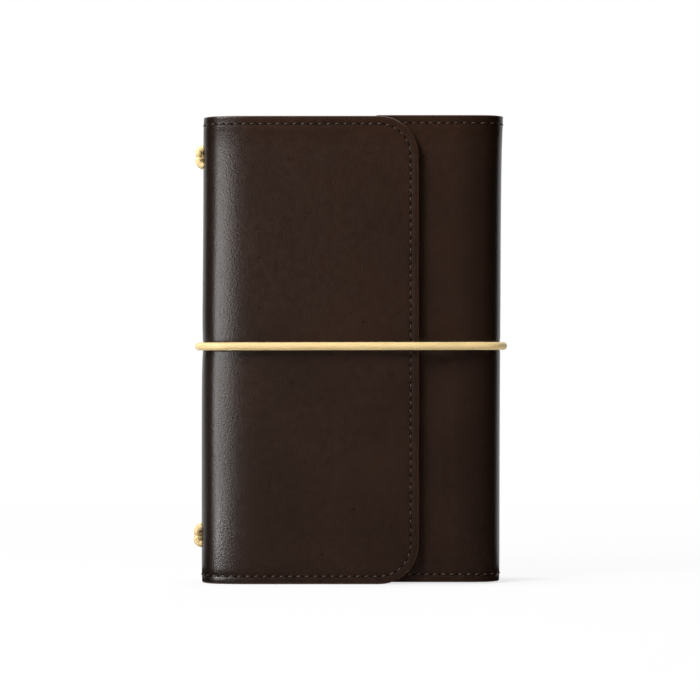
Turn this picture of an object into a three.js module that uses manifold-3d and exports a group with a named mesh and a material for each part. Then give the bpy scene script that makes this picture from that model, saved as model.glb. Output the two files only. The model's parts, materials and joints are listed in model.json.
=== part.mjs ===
// A refillable leather wrap journal, closed and standing on its tail edge.
// Millimetres. +Z runs from tail to head, +X from spine to fore-edge, and the front panel faces -Y.
// The origin is the middle of the journal's footprint, on the surface that it stands on.
import * as THREE from "three";
import { mergeVertices } from "three/addons/utils/BufferGeometryUtils.js";
import Module from "manifold-3d";

// Cover
const coverHeight = 171;
const coverWidth = 109.6;
const coverDepth = 24;
const leatherThickness = 1.5;
const liningThickness = 1;
const glueLine = 0.1;
const foldRadius = 9;
const flapFoldRadius = 8;
const foldGap = 0.3;
const layerGap = 0.3;
const frontPanelReach = 79.4;
const flapReach = 50.3;
const frontCornerRadius = 14.6;
const flapCornerRadius = 6;

// Booklets
const headRoom = 5.5;
const spineRoom = 5.3;
const foreEdgeRoom = 6;
const bookletGap = 0.3;
const cardThickness = 0.4;
const cardGap = 0.08;
const leafSlit = 0.3;
const stapleOffset = 45;
const stapleLength = 12;
const stapleWire = 0.6;
const stapleClearance = 0.15;
const stapleProud = 0.05;
const stapleLegDepth = 1.5;

// Cords and knots
const closureCordDiameter = 3;
const closureBendRadius = 2.4;
const closureEdgeRoom = 0.9;
const retainingCordDiameter = 2.2;
const retainingBendRadius = 2.2;
const cordClearance = 0.3;
const knotHeight = 8.8;
const knotWidth = 6.6;
const knotProjection = 3.2;
const knotSpacing = 139.4;
const cordLineRise = 1.4;
const knotWaist = 0.72;
const closureKnotWidth = 6.4;
const closureKnotDepth = 4.4;

// Smoothness
const foldSteps = 8;
const cornerSteps = 10;
const cordSides = 8;
const bendSteps = 6;
const holeSides = 20;
const knotSides = 16;
const lobeSteps = 8;
const closureKnotRings = 12;

// Places that follow from the sizes
const wallThickness = leatherThickness + glueLine + liningThickness;
const holeCutLength = 4 * wallThickness;
const frontY = -coverDepth / 2;
const backY = coverDepth / 2;
const flapY = frontY + wallThickness + layerGap;
const spineX = -coverWidth / 2;
const foreEdgeX = coverWidth / 2;
const middleZ = coverHeight / 2;
const cordLineZ = middleZ + cordLineRise;

const bookletHeight = coverHeight - 2 * headRoom;
const bookletSpace = backY - flapY - 2 * wallThickness;
const bookletThickness = (bookletSpace - 3 * bookletGap) / 2;
const rearBookletY = backY - wallThickness - bookletGap - bookletThickness / 2;
const frontBookletY = rearBookletY - bookletThickness - bookletGap;
const bookletFoldX = spineX + wallThickness + spineRoom + bookletThickness / 2;
const bookletEdgeX = foreEdgeX - wallThickness - foreEdgeRoom;
const channelRadius = retainingCordDiameter / 2 + cordClearance;
const knotZ = [cordLineZ + knotSpacing / 2, cordLineZ - knotSpacing / 2];

const wasm = await Module();
wasm.setup();

const leather = material(0x37241b, 0.5, 0);
const lining = material(0x4a3226, 0.85, 0);
const elastic = material(0xf5dfa3, 0.6, 0);
const card = material(0xb08d62, 0.9, 0);
const paper = material(0xf2ebdb, 0.95, 0);
const steel = material(0xb8bbbf, 0.35, 1);

const group = new THREE.Group();

function material(color, roughness, metalness) {
  return new THREE.MeshStandardMaterial({ color, roughness, metalness });
}

function addPiece(name, geometry, surface) {
  const mesh = new THREE.Mesh(geometry, surface.clone());
  mesh.name = name;
  group.add(mesh);
}

// Joins and cuts

function solidOf(geometry) {
  const bare = geometry.clone();
  bare.deleteAttribute("normal");
  bare.deleteAttribute("uv");
  const merged = mergeVertices(bare, 1e-4);
  return new wasm.Manifold(
    new wasm.Mesh({
      numProp: 3,
      vertProperties: merged.attributes.position.array,
      triVerts: new Uint32Array(merged.index.array),
    }),
  );
}

function geometryOf(solid) {
  const mesh = solid.getMesh();
  const geometry = new THREE.BufferGeometry();
  geometry.setAttribute("position", new THREE.BufferAttribute(mesh.vertProperties, 3));
  geometry.setIndex(new THREE.BufferAttribute(mesh.triVerts, 1));
  geometry.computeVertexNormals();
  return geometry;
}

function cut(geometry, tools) {
  let solid = solidOf(geometry);
  for (const tool of tools) solid = solid.subtract(solidOf(tool));
  return geometryOf(solid);
}

function trimTo(geometry, outline) {
  return geometryOf(solidOf(geometry).intersect(solidOf(outline)));
}

// The cover's section, seen from the head: four folds, each the centre of its arc

const frontSpineFold = { x: spineX + foldRadius, y: frontY + foldRadius, radius: foldRadius };
const backSpineFold = { x: spineX + foldRadius, y: backY - foldRadius, radius: foldRadius };
const backForeEdgeFold = { x: foreEdgeX - foldRadius, y: backY - foldRadius, radius: foldRadius };
const flapFold = { x: foreEdgeX - flapFoldRadius, y: flapY + flapFoldRadius, radius: flapFoldRadius };

const degree = Math.PI / 180;

// A stretch of a fold's arc, from one angle to another, at a depth below the cover's outer face
function foldArc(fold, fromDegrees, toDegrees) {
  return (depth) => {
    const points = [];
    const radius = fold.radius - depth;
    for (let i = 0; i <= foldSteps; i++) {
      const angle = (fromDegrees + ((toDegrees - fromDegrees) * i) / foldSteps) * degree;
      points.push(new THREE.Vector2(fold.x + radius * Math.cos(angle), fold.y + radius * Math.sin(angle)));
    }
    return points;
  };
}

// The free edge of a panel that faces the front: the depth goes inwards, towards +Y
function freeEdge(x, y) {
  return (depth) => [new THREE.Vector2(x, y + depth)];
}

// Half the gap at a fold's cut, as an angle of its arc
function cutAngle(fold) {
  return foldGap / 2 / fold.radius / degree;
}

// One layer of the cover along a list of stretches, between two depths, over the cover's height
function layer(stretches, outerDepth, innerDepth) {
  const outer = stretches.flatMap((stretch) => stretch(outerDepth));
  const inner = stretches.flatMap((stretch) => stretch(innerDepth)).reverse();
  const section = new THREE.Shape([...outer, ...inner]);
  return new THREE.ExtrudeGeometry(section, { depth: coverHeight, bevelEnabled: false });
}

// The outline of a panel seen from the front, with round corners on its free side
function panelOutline(hingeSideX, freeX, cornerRadius) {
  const side = Math.sign(freeX - hingeSideX);
  const centreX = freeX - side * cornerRadius;
  const points = [new THREE.Vector2(hingeSideX, 0)];
  for (const [centreZ, start] of [[cornerRadius, -90], [coverHeight - cornerRadius, 0]]) {
    for (let i = 0; i <= cornerSteps; i++) {
      const angle = (start + (90 * i) / cornerSteps) * degree;
      points.push(
        new THREE.Vector2(
          centreX + side * cornerRadius * Math.cos(angle),
          centreZ + cornerRadius * Math.sin(angle),
        ),
      );
    }
  }
  points.push(new THREE.Vector2(hingeSideX, coverHeight));
  const outline = new THREE.ExtrudeGeometry(new THREE.Shape(points), {
    depth: 2 * coverDepth,
    bevelEnabled: false,
  });
  return outline.rotateX(90 * degree).translate(0, coverDepth, 0);
}

// An oval hole along X through the spine, wide enough for cords that lie side by side
function spineHole(cordDiameter, z) {
  const hole = new THREE.CylinderGeometry(1, 1, holeCutLength, holeSides);
  hole.rotateZ(90 * degree);
  hole.scale(1, cordDiameter + 2 * cordClearance, cordDiameter / 2 + 2 * cordClearance);
  return hole.translate(spineX, 0, z);
}

const spineHoles = [
  spineHole(retainingCordDiameter, knotZ[0]),
  spineHole(retainingCordDiameter, knotZ[1]),
  spineHole(closureCordDiameter, cordLineZ),
];

// The cover: five panels, each an outer leather and a lining
function addPanel(name, stretches, outline, holes) {
  const layers = [
    ["leather", 0, leatherThickness, leather],
    ["lining", leatherThickness + glueLine, wallThickness, lining],
  ];
  for (const [layerName, outerDepth, innerDepth, surface] of layers) {
    let geometry = layer(stretches, outerDepth, innerDepth);
    if (outline) geometry = trimTo(geometry, outline);
    if (holes.length) geometry = cut(geometry, holes);
    addPiece(`${name}_${layerName}`, geometry, surface);
  }
}

const backSpineCut = 135 - cutAngle(backSpineFold);
const backForeEdgeCut = 45 + cutAngle(backForeEdgeFold);
addPanel(
  "back_panel",
  [foldArc(backForeEdgeFold, backForeEdgeCut, 90), foldArc(backSpineFold, 90, backSpineCut)],
  null,
  [],
);

const spineBackCut = 135 + cutAngle(backSpineFold);
const spineFrontCut = 225 - cutAngle(frontSpineFold);
addPanel(
  "spine",
  [foldArc(backSpineFold, spineBackCut, 180), foldArc(frontSpineFold, 180, spineFrontCut)],
  null,
  spineHoles,
);

const frontCut = 225 + cutAngle(frontSpineFold);
const frontFreeX = spineX + frontPanelReach;
addPanel(
  "front_panel",
  [foldArc(frontSpineFold, frontCut, 270), freeEdge(frontFreeX, frontY)],
  panelOutline(spineX, frontFreeX, frontCornerRadius),
  [],
);

const foreEdgeBackCut = 45 - cutAngle(backForeEdgeFold);
const foreEdgeFlapCut = -45 + cutAngle(flapFold);
addPanel(
  "fore_edge",
  [foldArc(flapFold, foreEdgeFlapCut, 0), foldArc(backForeEdgeFold, 0, foreEdgeBackCut)],
  null,
  [],
);

const flapCut = -45 - cutAngle(flapFold);
const flapFreeX = foreEdgeX - flapReach;
addPanel(
  "wrap_flap",
  [freeEdge(flapFreeX, flapY), foldArc(flapFold, -90, flapCut)],
  panelOutline(foreEdgeX, flapFreeX, flapCornerRadius),
  [],
);

// A booklet's folded layer, seen from the head: a U with its round fold towards the spine

function foldedSection(centreY, outerRadius, innerRadius, slitWidth) {
  const reach = bookletEdgeX - bookletFoldX;
  const points = [];
  const addPoint = (x, y) => points.push(new THREE.Vector2(bookletFoldX + x, centreY + y));
  addPoint(reach, outerRadius);
  for (let i = 0; i <= 2 * foldSteps; i++) {
    const angle = (90 + (180 * i) / (2 * foldSteps)) * degree;
    addPoint(outerRadius * Math.cos(angle), outerRadius * Math.sin(angle));
  }
  addPoint(reach, -outerRadius);
  addPoint(reach, -slitWidth / 2);
  const mouth = Math.asin(Math.min(slitWidth / 2 / innerRadius, 1));
  for (let i = 0; i <= 2 * foldSteps; i++) {
    const angle = -mouth - ((2 * Math.PI - 2 * mouth) * i) / (2 * foldSteps);
    addPoint(innerRadius * Math.cos(angle), innerRadius * Math.sin(angle));
  }
  addPoint(reach, slitWidth / 2);
  return new THREE.Shape(points);
}

function foldedLayer(section) {
  const geometry = new THREE.ExtrudeGeometry(section, { depth: bookletHeight, bevelEnabled: false });
  return geometry.translate(0, 0, headRoom);
}

// A staple pressed into the fold: a crown along it and two legs into the folded leaves
function staple(centreY, centreZ, wire) {
  const foldX = bookletFoldX - bookletThickness / 2;
  const crownX = foldX - stapleProud + stapleWire / 2;
  const legLength = stapleLegDepth + wire / 2;
  const crown = new THREE.BoxGeometry(wire, wire, stapleLength + wire);
  crown.translate(crownX, centreY, centreZ);
  let solid = solidOf(crown);
  for (const side of [-1, 1]) {
    const leg = new THREE.BoxGeometry(legLength, wire, wire);
    leg.translate(crownX + legLength / 2, centreY, centreZ + (side * stapleLength) / 2);
    solid = solid.add(solidOf(leg));
  }
  return geometryOf(solid);
}

const staplePlaces = [
  ["head", middleZ + stapleOffset],
  ["tail", middleZ - stapleOffset],
];

function addBooklet(name, centreY) {
  const outerRadius = bookletThickness / 2;
  const cardInner = outerRadius - cardThickness;
  const pagesOuter = cardInner - cardGap;
  const stapleHoles = staplePlaces.map(([, z]) => staple(centreY, z, stapleWire + 2 * stapleClearance));
  const cardSection = foldedSection(centreY, outerRadius, cardInner, 2 * cardInner);
  addPiece(`${name}_booklet_card`, cut(foldedLayer(cardSection), stapleHoles), card);
  const pagesSection = foldedSection(centreY, pagesOuter, channelRadius, leafSlit);
  addPiece(`${name}_booklet_pages`, cut(foldedLayer(pagesSection), stapleHoles), paper);
  for (const [end, z] of staplePlaces) {
    addPiece(`${name}_booklet_staple_${end}`, staple(centreY, z, stapleWire), steel);
  }
}

addBooklet("front", frontBookletY);
addBooklet("rear", rearBookletY);

// Cords: a route is a list of points, and the tube has a ring at each of them

class Route extends THREE.Curve {
  constructor(points) {
    super();
    this.points = points;
  }

  getPoint(share, target = new THREE.Vector3()) {
    const place = share * (this.points.length - 1);
    const index = Math.min(Math.floor(place), this.points.length - 2);
    return target.lerpVectors(this.points[index], this.points[index + 1], place - index);
  }

  getUtoTmapping(share) {
    return share;
  }
}

function tube(points, diameter) {
  const section = new THREE.Shape();
  for (let i = 0; i < cordSides; i++) {
    const angle = (2 * Math.PI * (i + 0.5)) / cordSides;
    const x = (diameter / 2) * Math.cos(angle);
    const y = (diameter / 2) * Math.sin(angle);
    if (i === 0) section.moveTo(x, y);
    else section.lineTo(x, y);
  }
  return new THREE.ExtrudeGeometry(section, {
    steps: points.length - 1,
    bevelEnabled: false,
    extrudePath: new Route(points),
  });
}

// Points on an arc in a plane, from one angle to another, given as pairs
function arcPairs(centreA, centreB, radius, fromDegrees, toDegrees) {
  const pairs = [];
  for (let i = 0; i <= bendSteps; i++) {
    const angle = (fromDegrees + ((toDegrees - fromDegrees) * i) / bendSteps) * degree;
    pairs.push([centreA + radius * Math.cos(angle), centreB + radius * Math.sin(angle)]);
  }
  return pairs;
}

// The closure cord leaves the spine's middle hole, goes once round the journal and back into the hole
function closureRoute() {
  const standOff = closureCordDiameter / 2 + cordClearance;
  const strandY = (closureCordDiameter + cordClearance) / 2;
  const outsideX = spineX - standOff;
  const startX = spineX + wallThickness - cordClearance;
  const bendX = outsideX + closureBendRadius;
  const edgeX = frontFreeX + closureEdgeRoom;
  const edgeY = frontY - standOff;
  const flapStandOff = flapFoldRadius + standOff;
  const toFoldX = flapFold.x - edgeX;
  const toFoldY = flapFold.y - edgeY;
  const slope = Math.atan2(toFoldY, toFoldX) - Math.asin(flapStandOff / Math.hypot(toFoldX, toFoldY));
  const leaveAngle = slope / degree - 90;
  const pairs = [
    [startX, -strandY],
    ...arcPairs(bendX, -strandY - closureBendRadius, closureBendRadius, 90, 180),
    ...arcPairs(frontSpineFold.x, frontSpineFold.y, foldRadius + standOff, 180, 270),
    [edgeX, edgeY],
    ...arcPairs(flapFold.x, flapFold.y, flapStandOff, leaveAngle, 0),
    ...arcPairs(backForeEdgeFold.x, backForeEdgeFold.y, foldRadius + standOff, 0, 90),
    ...arcPairs(backSpineFold.x, backSpineFold.y, foldRadius + standOff, 90, 180),
    ...arcPairs(bendX, strandY + closureBendRadius, closureBendRadius, 180, 270),
    [startX, strandY],
  ];
  return pairs.map(([x, y]) => new THREE.Vector3(x, y, cordLineZ));
}

addPiece("closure_cord", tube(closureRoute(), closureCordDiameter), elastic);

// A retaining cord comes in through the head hole, goes over the booklet's head end, down the middle
// of its folded pages, round its tail end and out through the tail hole
function retainingRoute(bookletY, side) {
  const holeY = (side * (retainingCordDiameter + cordClearance)) / 2;
  const bookletBackX = bookletFoldX - bookletThickness / 2;
  const innerX = spineX + wallThickness;
  const runX = (innerX + bookletBackX) / 2;
  const turnRadius = (bookletFoldX - runX) / 2;
  const [headZ, tailZ] = knotZ;
  const topZ = coverHeight - headRoom;
  const turnX = runX + turnRadius;
  const bendX = runX - retainingBendRadius;
  const start = (z) => [spineX + cordClearance, z];
  const atHole = (pairs) => pairs.map(([x, z]) => new THREE.Vector3(x, holeY, z));
  const atFold = (pairs) => pairs.map(([x, z]) => new THREE.Vector3(x, bookletY, z));
  return [
    ...atHole([start(headZ), ...arcPairs(bendX, headZ + retainingBendRadius, retainingBendRadius, -90, 0)]),
    ...atFold(arcPairs(turnX, topZ, turnRadius, 180, 0)),
    ...atFold(arcPairs(turnX, headRoom, turnRadius, 0, -180)),
    ...atHole([...arcPairs(bendX, tailZ - retainingBendRadius, retainingBendRadius, 0, 90), start(tailZ)]),
  ];
}

addPiece("front_retaining_cord", tube(retainingRoute(frontBookletY, -1), retainingCordDiameter), elastic);
addPiece("rear_retaining_cord", tube(retainingRoute(rearBookletY, 1), retainingCordDiameter), elastic);

// A tied knot on the outside of the spine: two lobes, one above the other, with a waist between them
function knot(centreZ) {
  const lobe = knotHeight / 4;
  const profile = [new THREE.Vector2(0, -2 * lobe)];
  for (const centre of [-lobe, lobe]) {
    for (let i = 1; i < lobeSteps; i++) {
      const angle = (-90 + (180 * i) / lobeSteps) * degree;
      const height = centre + lobe * Math.sin(angle);
      const towardsWaist = centre * Math.sin(angle) < 0;
      const share = towardsWaist ? Math.max(Math.cos(angle), knotWaist) : Math.cos(angle);
      profile.push(new THREE.Vector2(share, height));
    }
  }
  profile.push(new THREE.Vector2(0, 2 * lobe));
  const geometry = new THREE.LatheGeometry(profile, knotSides);
  geometry.rotateX(90 * degree);
  const depth = knotProjection - cordClearance;
  geometry.scale(depth / 2, knotWidth / 2, 1);
  return geometry.translate(spineX - cordClearance - depth / 2, 0, centreZ);
}

addPiece("head_knot", knot(knotZ[0]), elastic);
addPiece("tail_knot", knot(knotZ[1]), elastic);

// The knot that keeps the closure cord's two ends inside the spine
function closureKnot() {
  const geometry = new THREE.SphereGeometry(0.5, knotSides, closureKnotRings);
  geometry.scale(closureKnotDepth, closureKnotWidth, closureKnotWidth);
  return geometry.translate(spineX + wallThickness + closureKnotDepth / 2, 0, cordLineZ);
}

addPiece("closure_knot", closureKnot(), elastic);

export default group;
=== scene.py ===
"""The looks of a refillable leather wrap journal, closed and standing on its tail edge."""

import json
import logging
import math
from dataclasses import dataclass
from enum import Enum
from typing import Iterable, Sequence

import bmesh
import bpy
from bmesh.types import BMEdge, BMesh, BMFace, BMVert
from mathutils import Matrix, Vector, noise


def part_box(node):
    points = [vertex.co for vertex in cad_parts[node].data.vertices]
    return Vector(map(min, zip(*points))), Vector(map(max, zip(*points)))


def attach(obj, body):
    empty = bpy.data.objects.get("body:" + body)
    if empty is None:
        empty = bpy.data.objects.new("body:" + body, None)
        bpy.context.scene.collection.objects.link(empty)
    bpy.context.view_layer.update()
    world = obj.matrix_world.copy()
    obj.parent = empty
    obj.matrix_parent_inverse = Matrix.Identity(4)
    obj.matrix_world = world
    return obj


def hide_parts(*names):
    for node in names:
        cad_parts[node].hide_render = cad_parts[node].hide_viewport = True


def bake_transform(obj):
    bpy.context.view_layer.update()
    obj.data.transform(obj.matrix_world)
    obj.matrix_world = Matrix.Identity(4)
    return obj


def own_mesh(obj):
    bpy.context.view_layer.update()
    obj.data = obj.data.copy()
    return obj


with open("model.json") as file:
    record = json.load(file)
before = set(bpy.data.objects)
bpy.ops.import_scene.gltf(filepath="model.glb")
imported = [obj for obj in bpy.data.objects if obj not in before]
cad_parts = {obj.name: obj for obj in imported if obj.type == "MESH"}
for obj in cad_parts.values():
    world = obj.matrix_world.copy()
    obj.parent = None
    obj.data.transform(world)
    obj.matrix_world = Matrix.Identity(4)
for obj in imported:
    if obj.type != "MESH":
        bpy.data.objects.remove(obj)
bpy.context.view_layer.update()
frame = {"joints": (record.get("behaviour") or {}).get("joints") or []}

log = logging.getLogger("journal")

MM = 0.001

Colour = tuple[float, float, float, float]
Material = bpy.types.Material
Piece = bpy.types.Object
Socket = bpy.types.NodeSocket


class Slot(Enum):
    """The record's material slots."""

    LEATHER = "cover_leather"
    LINING = "lining_leather"
    ELASTIC = "elastic_cord"
    CARD = "booklet_card"
    PAPER = "booklet_paper"
    WIRE = "staple_wire"


class Side(Enum):
    """The face of the cover that a stitch row shows on."""

    OUTER = "outer"
    INNER = "inner"


def joint_point(name: str) -> Vector:
    """The point in the frame that a named joint turns about."""
    joint = next(j for j in frame["joints"] if j["name"] == name)
    return Vector(joint["pos_m"])


def middle_z(node: str) -> float:
    """The height of a CAD node's middle."""
    low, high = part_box(node)
    return (low.z + high.z) / 2


def srgb(*channels: int) -> Colour:
    """A screen colour as a linear one.

    Args:
        *channels: Red, green and blue from 0 to 255.

    Returns:
        The linear colour with an alpha of 1.
    """
    shares = [channel / 255 for channel in channels]
    linear = [share / 12.92 if share <= 0.04045 else ((share + 0.055) / 1.055) ** 2.4 for share in shares]
    return (*linear, 1.0)


# Shader building


class NodeBuilder:
    """A node tree under construction: its nodes are added one call at a time."""

    def __init__(self, tree: bpy.types.NodeTree) -> None:
        """Takes a tree and empties it."""
        self.tree = tree
        tree.nodes.clear()

    def feed(self, node: bpy.types.Node, socket: str | int, value: object) -> None:
        """Sets an input to a value or links it to another node's output.

        Args:
            node: The node whose input is set.
            socket: The input's name or index.
            value: A number, a colour, a vector or an output socket.
        """
        target = node.inputs[socket]
        if isinstance(value, Socket):
            self.tree.links.new(value, target)
        else:
            target.default_value = value

    def add(self, kind: str, inputs: dict, out: str | int = 0, **properties: object) -> Socket:
        """Adds a node.

        Args:
            kind: The node's type name.
            inputs: Values or sockets by input name or index.
            out: The output to return.
            **properties: The node's own settings.

        Returns:
            The chosen output socket.
        """
        node = self.tree.nodes.new(kind)
        for key, value in properties.items():
            setattr(node, key, value)
        for key, value in inputs.items():
            self.feed(node, key, value)
        return node.outputs[out]

    def maths(self, operation: str, *values: object) -> Socket:
        """A Math node with its inputs in order."""
        return self.add("ShaderNodeMath", dict(enumerate(values)), operation=operation)

    def seen(self) -> Socket:
        """Tells the rays that make the picture from those that only carry light.

        Returns:
            1 for the camera's rays, also after a reflection or through glass, and 0 for the others.
        """
        path = self.tree.nodes.new("ShaderNodeLightPath").outputs
        mirrored = self.maths("MAXIMUM", path["Is Camera Ray"], path["Is Glossy Ray"])
        return self.maths("MAXIMUM", mirrored, path["Is Transmission Ray"])


class Shader(NodeBuilder):
    """A material under construction, with a Principled surface."""

    def __init__(self, name: str) -> None:
        """Starts an empty material.

        Args:
            name: The material's name.
        """
        self.material = bpy.data.materials.new(name)
        self.material.use_nodes = True
        super().__init__(self.material.node_tree)
        self.output = self.tree.nodes.new("ShaderNodeOutputMaterial")
        self.surface = self.tree.nodes.new("ShaderNodeBsdfPrincipled")
        self.feed(self.output, "Surface", self.surface.outputs["BSDF"])

    def blend(self, share: object, low: object, high: object) -> Socket:
        """A colour between two others, the first one at a share of 0."""
        return self.add("ShaderNodeMix", {0: share, 6: low, 7: high}, out=2, data_type="RGBA")

    def ramp(self, value: object, low: float, high: float) -> Socket:
        """A value spread from 0 to 1 between two limits."""
        limits = {"Value": value, "From Min": low, "From Max": high}
        return self.add("ShaderNodeMapRange", limits, clamp=True)

    def tone(self, value: object, limits: tuple[float, float], low: object, high: object) -> Socket:
        """A colour that goes from one to another while a value goes between two limits."""
        return self.blend(self.ramp(value, *limits), low, high)

    def mean(self, first: Socket, share: float, second: Socket) -> Socket:
        """Two values weighed by the first one's share."""
        rest = self.maths("MULTIPLY", second, 1 - share)
        return self.maths("ADD", self.maths("MULTIPLY", first, share), rest)

    def noise(self, vector: object, scale: float, detail: float) -> Socket:
        """A noise value from 0 to 1 over a vector."""
        inputs = {"Vector": vector, "Scale": scale, "Detail": detail}
        return self.add("ShaderNodeTexNoise", inputs, out="Fac")

    def coordinate(self, source: str) -> Socket:
        """The UV or Object coordinate."""
        return self.add("ShaderNodeTexCoord", {}, out=source)

    def scaled(self, vector: Socket, scale: tuple[float, float, float]) -> Socket:
        """A coordinate with each part scaled by its own factor."""
        return self.add("ShaderNodeMapping", {"Vector": vector, "Scale": scale})

    def millimetres(self, source: str) -> Socket:
        """The UV or Object coordinate in millimetres."""
        return self.scaled(self.coordinate(source), (1000, 1000, 1000))

    def parts(self, vector: Socket) -> Sequence[Socket]:
        """The three parts of a vector."""
        return self.add("ShaderNodeSeparateXYZ", {0: vector}).node.outputs

    def bump(self, height: object, distance: float, strength: float, under: object = None) -> Socket:
        """A bump, laid over another one if there is one.

        Args:
            height: The height's socket.
            distance: The height in metres that a value of 1 stands for.
            strength: The share of the bump that shows.
            under: The normal of a bump below this one.

        Returns:
            The normal's socket.
        """
        inputs = {"Height": height, "Distance": distance, "Strength": strength}
        if under is not None:
            inputs["Normal"] = under
        return self.add("ShaderNodeBump", inputs)

    def finish(self, **inputs: object) -> Material:
        """Sets the surface's inputs.

        Args:
            inputs: The values or sockets by the inputs' names, with underscores for spaces.

        Returns:
            The material.
        """
        for key, value in inputs.items():
            self.feed(self.surface, key.replace("_", " "), value)
        return self.material


# Finishes


@dataclass(frozen=True)
class WrapLeather:
    """Smooth dark brown leather with a fine grain and a soft, uneven polish.

    The folds get painted shade; its reach, the worn head and the grain's pitch are in the pattern's
    millimetres.
    """

    folds: tuple[tuple[float, float], ...]
    height: float
    warm: Colour = srgb(49, 31, 21)
    deep: Colour = srgb(39, 24, 16)
    cloud_share: float = 0.6
    # Painted shade on the round folds: its darkness against the deep colour, its strength and its reach.
    fold_shade: float = 0.2
    fold_shade_share: float = 0.95
    fold_shade_reach: float = 11.0
    polish: float = 0.5
    worn_polish: float = 0.28
    worn_head: tuple[float, float] = (12.0, 5.0)
    grain_pitch: float = 0.55
    grain_depth: float = 0.065 * MM
    crease_depth: float = 0.078 * MM
    bump_share: float = 0.5
    roughness: float = 0.3
    roughness_spread: float = 0.12

    def build(self) -> Material:
        """Builds the leather's material, laid out on the flat cover by its UV map.

        Returns:
            The material.
        """
        shader = Shader("wrap_leather")
        place = shader.millimetres("UV")
        across, up, _ = shader.parts(place)
        cloud = shader.noise(place, scale=0.035, detail=4)
        patch = shader.noise(place, scale=0.35, detail=3)
        mottle = shader.mean(cloud, self.cloud_share, patch)
        base = shader.tone(mottle, (0.3, 0.7), self.deep, self.warm)
        # Painted shade: the leather is darkened over the two round folds, fading out within the reach on
        # either side.
        fold_shade_colour = (*[channel * self.fold_shade for channel in self.deep[:3]], 1.0)
        for start, end in self.folds:
            middle, half = (start + end) / 2 / MM, (end - start) / 2 / MM
            away = shader.maths("ABSOLUTE", shader.maths("SUBTRACT", across, middle))
            near = shader.ramp(away, half + self.fold_shade_reach, half - self.fold_shade_reach)
            base = shader.blend(shader.maths("MULTIPLY", near, self.fold_shade_share), base, fold_shade_colour)
        grain = {"Vector": place, "Scale": 1 / self.grain_pitch, "Randomness": 1.0}
        cells = shader.add("ShaderNodeTexVoronoi", grain, out="Distance", feature="F1")
        creases = shader.noise(place, scale=1.1, detail=4)
        normal = shader.bump(cells, self.grain_depth, self.bump_share)
        normal = shader.bump(creases, self.crease_depth, self.bump_share, normal)
        lowest = self.roughness - self.roughness_spread / 2
        rough = shader.maths("MULTIPLY_ADD", patch, self.roughness_spread, lowest)
        start, end = (self.height / MM - reach for reach in self.worn_head)
        worn = {"Value": up, "From Min": start, "From Max": end}
        worn |= {"To Min": self.polish, "To Max": self.worn_polish}
        polish = shader.add("ShaderNodeMapRange", worn, clamp=True)
        return shader.finish(Base_Color=base, Roughness=rough, Normal=normal, Specular_IOR_Level=polish)


@dataclass(frozen=True)
class SuedeLining:
    """The matt flesh side of a thin brown leather."""

    light: Colour = srgb(104, 74, 54)
    dark: Colour = srgb(78, 54, 40)
    nap_height: float = 0.08 * MM

    def build(self) -> Material:
        """Builds the lining's material.

        Returns:
            The material.
        """
        shader = Shader("suede_lining")
        place = shader.millimetres("UV")
        nap = shader.noise(place, scale=2.2, detail=5)
        cloud = shader.noise(place, scale=0.08, detail=3)
        base = shader.tone(shader.mean(nap, 0.5, cloud), (0.35, 0.65), self.dark, self.light)
        normal = shader.bump(nap, self.nap_height, strength=0.5)
        return shader.finish(
            Base_Color=base, Roughness=0.9, Normal=normal, Sheen_Weight=0.25, Specular_IOR_Level=0.2
        )


@dataclass(frozen=True)
class BurnishedEdge:
    """A cut leather edge, rubbed smooth and darkened."""

    light: Colour = srgb(92, 62, 45)
    dark: Colour = srgb(48, 31, 24)
    fibre_height: float = 0.05 * MM

    def build(self) -> Material:
        """Builds the edge's material.

        Returns:
            The material.
        """
        shader = Shader("burnished_edge")
        place = shader.millimetres("Object")
        base = shader.tone(shader.noise(place, scale=1.6, detail=4), (0.35, 0.7), self.dark, self.light)
        normal = shader.bump(shader.noise(place, scale=4.0, detail=3), self.fibre_height, strength=0.4)
        return shader.finish(Base_Color=base, Roughness=0.42, Normal=normal, Specular_IOR_Level=0.3)


@dataclass(frozen=True)
class WaxedThread:
    """Brown waxed sewing thread with a visible twist."""

    light: Colour = srgb(80, 59, 47)
    dark: Colour = srgb(47, 33, 26)
    fibre_height: float = 0.08 * MM

    def build(self) -> Material:
        """Builds the thread's material.

        Returns:
            The material.
        """
        shader = Shader("waxed_thread")
        fibre = shader.noise(shader.millimetres("Object"), scale=3.0, detail=2)
        base = shader.tone(fibre, (0.35, 0.65), self.dark, self.light)
        normal = shader.bump(fibre, self.fibre_height, strength=0.6)
        return shader.finish(Base_Color=base, Roughness=0.42, Normal=normal)


@dataclass(frozen=True)
class AwlHoleShade:
    """Painted shade: a dark oval for the shaded mouth of a hole that the thread goes into."""

    # Both colours are painted shade, not a colour of the leather.
    rim: Colour = srgb(20, 13, 10)
    deep: Colour = srgb(12, 8, 6)

    def build(self) -> Material:
        """Builds the hole's material.

        Returns:
            The material.
        """
        shader = Shader("awl_hole_shade")
        fibre = shader.noise(shader.millimetres("Object"), scale=3.0, detail=2)
        base = shader.blend(fibre, self.rim, self.deep)
        return shader.finish(Base_Color=base, Roughness=0.9, Specular_IOR_Level=0.1)


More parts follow.
